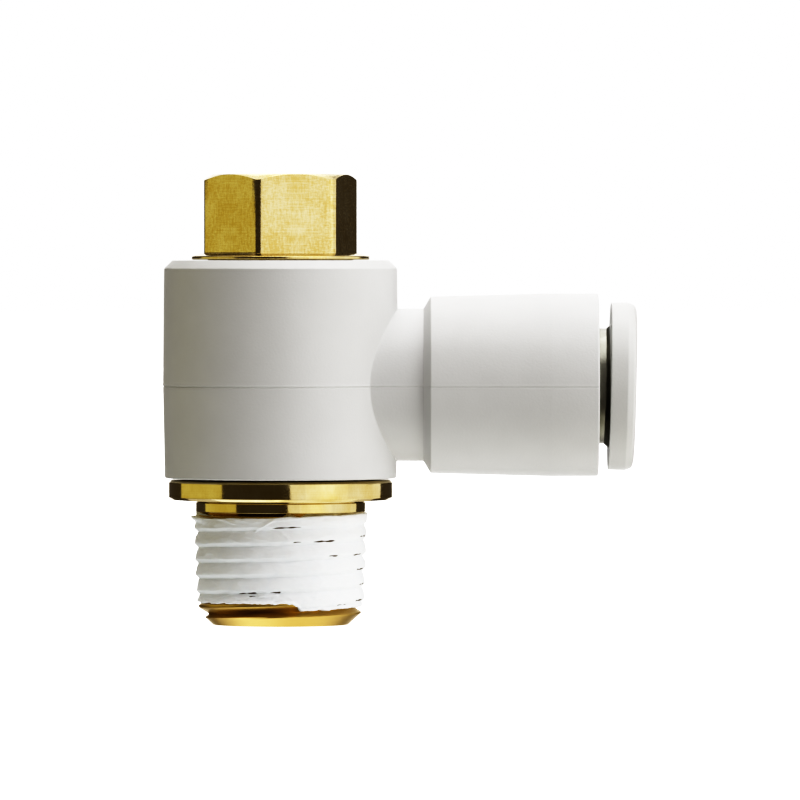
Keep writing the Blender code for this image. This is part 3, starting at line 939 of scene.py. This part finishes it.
def body_mesh():
    ring_bore = [
        (0, BODY_LOW - 1),
        (BODY_BORE + 1.2, BODY_LOW - 1),
        (BODY_BORE, BODY_LOW + 0.2),
        (BODY_BORE, 11.0),
        (BODY_CHAMBER, 11.2),
        (BODY_CHAMBER, 16.8),
        (BODY_BORE, 17.0),
        (BODY_BORE, BODY_HIGH - 0.2),
        (BODY_BORE + 1.2, BODY_HIGH + 1),
        (0, BODY_HIGH + 1),
    ]
    branch_bore = [(0, 0.1)] + soft(
        [
            (1.7, 0.1),
            (1.7, TUBE_STOP, 0.08),
            (TUBE_BORE, TUBE_STOP, 0.15),
            (TUBE_BORE, PACKING_LOW),
            (PACKING_BORE, PACKING_LOW),
            (PACKING_BORE, CARTRIDGE_LOW),
            (CARTRIDGE_BORE, CARTRIDGE_LOW),
            (CARTRIDGE_BORE, SOCKET_HIGH - 0.1),
            (4.70, SOCKET_HIGH + 0.05),
            (4.70, SOCKET_HIGH + 1),
        ],
        0.04,
    )
    branch_bore += [(0, SOCKET_HIGH + 1)]
    mesh = boolean(ring_mesh(), along_x(branch_mesh()), "UNION")
    mesh = boolean(mesh, turned_mesh("ring_bore", ring_bore, even(180)))
    return boolean(mesh, along_x(turned_mesh("branch_bore", branch_bore, even(150))))


# ---------------------------------------------------------------- push-in cartridge


def packing_mesh():
    low = PACKING_LOW + 0.1
    wall = PACKING_BORE - 0.05
    corners = [
        (3.25, low + 1.4),
        (GRIP_RADIUS, low + 0.75),
        (GRIP_RADIUS, low + 0.15),
        (3.25, low),
        (3.55, low + 0.7),
        (3.85, low),
        (wall, low + 0.15),
        (wall, low + 1.4),
    ]
    return turned_mesh("packing", ring_of(corners, 0.08), even(144))


def retainer_mesh():
    wall = PACKING_BORE - 0.05
    low, high = CARTRIDGE_LOW - 0.45, CARTRIDGE_LOW - 0.05
    corners = [(3.50, low), (wall, low), (wall, high), (3.55, high)]
    return turned_mesh("retainer", ring_of(corners, 0.05), even(144))


def grab_ring_mesh():
    corners = [
        (GRIP_RADIUS, 13.42),
        (GRIP_RADIUS, 13.56),
        (3.50, 14.03, 0.1),
        (4.10, 14.03, 0.03),
        (4.10, 13.88, 0.03),
        (3.52, 13.88, 0.1),
    ]
    mesh = turned_mesh("grab_ring", ring_of(corners, 0.015), even(160))
    for k in range(4):
        mesh = boolean(mesh, box_mesh("gap", (6.9, 0.5, 2.0), (0, 0, 13.7), k * TURN / 8))
    return mesh


def collet_mesh():
    corners = [
        (3.02, 14.08),
        (4.08, 14.08),
        (4.08, 15.00),
        (3.90, 16.35),
        (3.50, 16.35),
        (3.50, 15.20),
        (3.02, 14.70),
    ]
    mesh = turned_mesh("collet", ring_of(corners, 0.06), even(160))
    for k in range(4):
        mesh = boolean(mesh, box_mesh("slot", (9.0, 0.4, 2.4), (0, 0, 14.4), (k + 0.5) * TURN / 8))
    return mesh


def guide_mesh():
    corners = [
        (4.22, CARTRIDGE_LOW + 0.05),
        (CARTRIDGE_BORE - 0.05, CARTRIDGE_LOW + 0.05),
        (CARTRIDGE_BORE - 0.05, SOCKET_HIGH - 0.2, 0.1),
        (3.62, SOCKET_HIGH - 0.2, 0.08),
        (BUTTON_SHANK + 0.12, SOCKET_HIGH - 0.35),
        (BUTTON_SHANK + 0.12, 17.80),
        (3.92, 17.80),
        (3.92, 17.40),
        (4.22, 15.00, 0.3),
    ]
    return turned_mesh("guide", ring_of(corners, 0.03), even(144))


def button_mesh():
    """The button sits a little askew, within its play in the guide ring."""
    corners = [
        (TUBE_BORE, 15.93),
        (BUTTON_SHANK, 16.25),
        (BUTTON_SHANK, 17.40),
        (BUTTON_BARB, 17.48, 0.04),
        (BUTTON_BARB, 17.68, 0.03),
        (BUTTON_SHANK, 17.68),
        (BUTTON_SHANK, BUTTON_BACK - 0.25, 0.08),
        (BUTTON_SHANK + 0.3, BUTTON_BACK + 0.05, 0.08),
        (4.35, BUTTON_BACK + 0.01, 0.1),
        (BUTTON_RADIUS - 0.02, BUTTON_BACK, 0.09),
        (BUTTON_RADIUS, BUTTON_FACE - 0.5, 0.3),
        (BUTTON_RADIUS - 0.16, BUTTON_FACE - 0.10, 0.25),
        (BUTTON_RADIUS - 0.50, BUTTON_FACE, 0.3),
        (3.60, BUTTON_FACE, 0.12),
        (TUBE_BORE, BUTTON_FACE - 0.5, 0.15),
    ]
    mesh = turned_mesh("button", ring_of(corners, 0.05, 6), even(192))
    back = Matrix.Translation((0, 0, -BUTTON_BACK * MM))
    there = Matrix.Translation((BUTTON_DROP * MM, 0, BUTTON_BACK * MM))
    mesh.transform(there @ Matrix.Rotation(BUTTON_TILT, 4, "Y") @ back)
    return mesh


# ---------------------------------------------------------------- stage


def towards(azimuth, elevation, distance):
    """A place this far from the valve's middle. Azimuth is from the front towards +X, in degrees."""
    a, e = math.radians(azimuth), math.radians(elevation)
    away = Vector((math.sin(a) * math.cos(e), -math.cos(a) * math.cos(e), math.sin(e)))
    return MIDDLE + away * distance


def aim(thing, place, target):
    thing.location = place
    thing.rotation_euler = (Vector(target) - Vector(place)).to_track_quat("-Z", "Y").to_euler()


def softbox(name, azimuth, elevation, half_width, half_height, radiance, colour, distance=1.2):
    """Rectangular softbox, given by the angles it takes up as seen from the valve and by its radiance.

    Angles are in degrees, and the distance is in metres.
    """
    data = bpy.data.lights.new(name, "AREA")
    data.shape = "RECTANGLE"
    data.size = 2 * distance * math.tan(math.radians(half_width))
    data.size_y = 2 * distance * math.tan(math.radians(half_height))
    data.energy = radiance * math.pi * data.size * data.size_y
    data.color = colour
    lamp = bpy.data.objects.new(name, data)
    bpy.context.scene.collection.objects.link(lamp)
    aim(lamp, towards(azimuth, elevation, distance), MIDDLE)
    lamp.visible_camera = False
    return lamp


def floor():
    """Plain pale floor that runs into the white surroundings. The table lights shine up through it."""
    shape = bmesh.new()
    bmesh.ops.create_grid(shape, x_segments=8, y_segments=8, size=3.0)
    mesh = bpy.data.meshes.new("floor")
    shape.to_mesh(mesh)
    shape.free()
    made = Material("pale_floor", Roughness=0.9, Specular_IOR_Level=0.1, Emission_Strength=0.93)
    made.shader.inputs["Emission Color"].default_value = (1, 1, 1, 1)
    grain = made.noise(made.place(), 30, 2.0)
    colour = made.colours(grain, (0.3, (0.88, 0.88, 0.88)), (0.7, (0.90, 0.90, 0.90)))
    mesh.materials.append(made.set(Base_Color=colour))
    thing = new_object("floor", mesh)
    thing.location.z = -0.02 * MM
    thing.visible_diffuse = False
    thing.visible_glossy = False
    thing.visible_shadow = False


def surroundings():
    """White to the camera, and a dim room to everything that is lit by it or reflects it."""
    world = bpy.data.worlds.new("studio")
    bpy.context.scene.world = world
    world.use_nodes = True
    tree = world.node_tree
    tree.nodes.clear()
    path = tree.nodes.new("ShaderNodeLightPath")
    room = tree.nodes.new("ShaderNodeBackground")
    room.inputs["Color"].default_value = (1.0, 0.90, 0.80, 1)
    room.inputs["Strength"].default_value = 0.10
    white = tree.nodes.new("ShaderNodeBackground")
    white.inputs["Strength"].default_value = 1.0
    mix = tree.nodes.new("ShaderNodeMixShader")
    out = tree.nodes.new("ShaderNodeOutputWorld")
    white.inputs["Color"].default_value = (1, 1, 1, 1)
    tree.links.new(path.outputs["Is Camera Ray"], mix.inputs[0])
    tree.links.new(room.outputs[0], mix.inputs[1])
    tree.links.new(white.outputs[0], mix.inputs[2])
    tree.links.new(mix.outputs[0], out.inputs[0])


def lights():
    """The key light from the right, fills, and lights below the floor for what a white table throws up."""
    warm = (1.0, 0.93, 0.40)
    white = (1.0, 1.0, 1.0)
    for half_width, radiance in ((8, 0.40), (13, 0.27), (18, 0.20), (24, 0.18)):
        softbox(f"key_middle_{half_width}", 50, 6, half_width, 45, radiance, white)
    softbox("key_wide", 68, 6, 58, 45, 0.90, white)
    softbox("fill_left", -92.5, 2, 30.5, 10, 0.54, warm)
    softbox("top_right", 60, 80, 28, 28, 1.99, white)
    softbox("top_left", -100, 54, 20, 28, 0.46, white)
    softbox("top_back", 180, 60, 25, 20, 1.10, white)
    softbox("table_right", 80, -68, 34, 26, 0.53, (1.0, 0.97, 0.80))
    softbox("table_back", 180, -64, 55, 25, 0.57, white)
    softbox("table_left", -86, -68, 24, 22, 0.38, white)
    softbox("table_near_port", -60, -60, 26, 18, 0.68, (0.86, 0.94, 1.0), distance=0.036)
    softbox("rim", 180, 10, 14, 40, 1.14, white)
    back = softbox("back_fill", 180, 10, 50, 35, 0.40, white)
    back.visible_glossy = False


def contrast(strength):
    """Contrast of a product photograph: an S-shaped curve on the picture's encoded values."""
    settings = scene.view_settings
    settings.view_transform = "Standard"
    settings.use_curve_mapping = True
    curve = settings.curve_mapping.curves[3]
    gamma = 2.2
    for k in range(1, 20):
        tone = k / 20
        bent = tone - strength * math.sin(TURN * tone) / TURN
        curve.points.new(tone**gamma, bent**gamma)
    settings.curve_mapping.update()


def camera():
    data = bpy.data.cameras.new("camera")
    distance, height, width_in_view = 525, 8.3, 46.5
    data.sensor_width = 36
    data.lens = data.sensor_width * distance / width_in_view
    data.clip_start = 0.01
    data.clip_end = 50
    thing = bpy.data.objects.new("camera", data)
    bpy.context.scene.collection.objects.link(thing)
    target = Vector((6.94, 0, 13.04)) * MM
    aim(thing, target + Vector((0, -distance, height)) * MM, target)
    bpy.context.scene.camera = thing


# ---------------------------------------------------------------- assembly


def build():
    turned_brass = brass_finish("turned_brass", 0.09, 0.0006, 0.0004, 0.08, THREAD_TOP)
    milled_brass = brass_finish("milled_brass", 0.17, 0.0010, 0.0040, 0.30)
    body_plastic = plastic_finish("body_plastic", (0.66, 0.66, 0.653), 0.42)
    button_plastic = plastic_finish("button_plastic", (0.65, 0.65, 0.635), 0.38, BUTTON_SHADE_BAND)
    acetal = plastic_finish("acetal", (0.74, 0.72, 0.66), 0.4)
    rubber = rubber_finish()
    steel = steel_finish()
    lower = LOWER_GROOVE + GROOVE_LENGTH / 2
    upper = UPPER_GROOVE + GROOVE_LENGTH / 2

    piece("threaded_stud", stud_mesh(), turned_brass)
    piece("thread_sealant", sealant_mesh(), sealant_finish(), sharp=80, weighted=False)
    piece("head_bush", head_mesh(), milled_brass)
    piece("seat_ring", seat_mesh(), turned_brass)
    piece("check_lip_seal", lip_seal_mesh(), rubber)
    piece("lower_o_ring", o_ring_mesh(O_RING_RADIUS, O_RING_CORD, lower), rubber)
    piece("upper_o_ring", o_ring_mesh(O_RING_RADIUS, O_RING_CORD, upper), rubber)
    piece("metering_needle", needle_mesh(), turned_brass)
    piece("needle_o_ring", o_ring_mesh(1.82, 0.33, 15.7), rubber)

    piece("swivel_body", body_mesh(), body_plastic)
    piece("tube_packing", packing_mesh(), rubber, on_branch=True)
    piece("seal_retainer", retainer_mesh(), acetal, on_branch=True)
    piece("grab_ring", grab_ring_mesh(), steel, on_branch=True)
    piece("collet", collet_mesh(), acetal, on_branch=True)
    piece("guide_ring", guide_mesh(), steel, on_branch=True)
    piece("release_button", button_mesh(), button_plastic, on_branch=True)


def corners(box):
    return [list(corner) for corner in box]


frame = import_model()
cad_box = corners(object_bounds())
MIDDLE = sum((Vector(corner) for corner in cad_box), Vector()) / 2

scene = bpy.context.scene
build()
floor()
surroundings()
lights()
contrast(0.7)
camera()
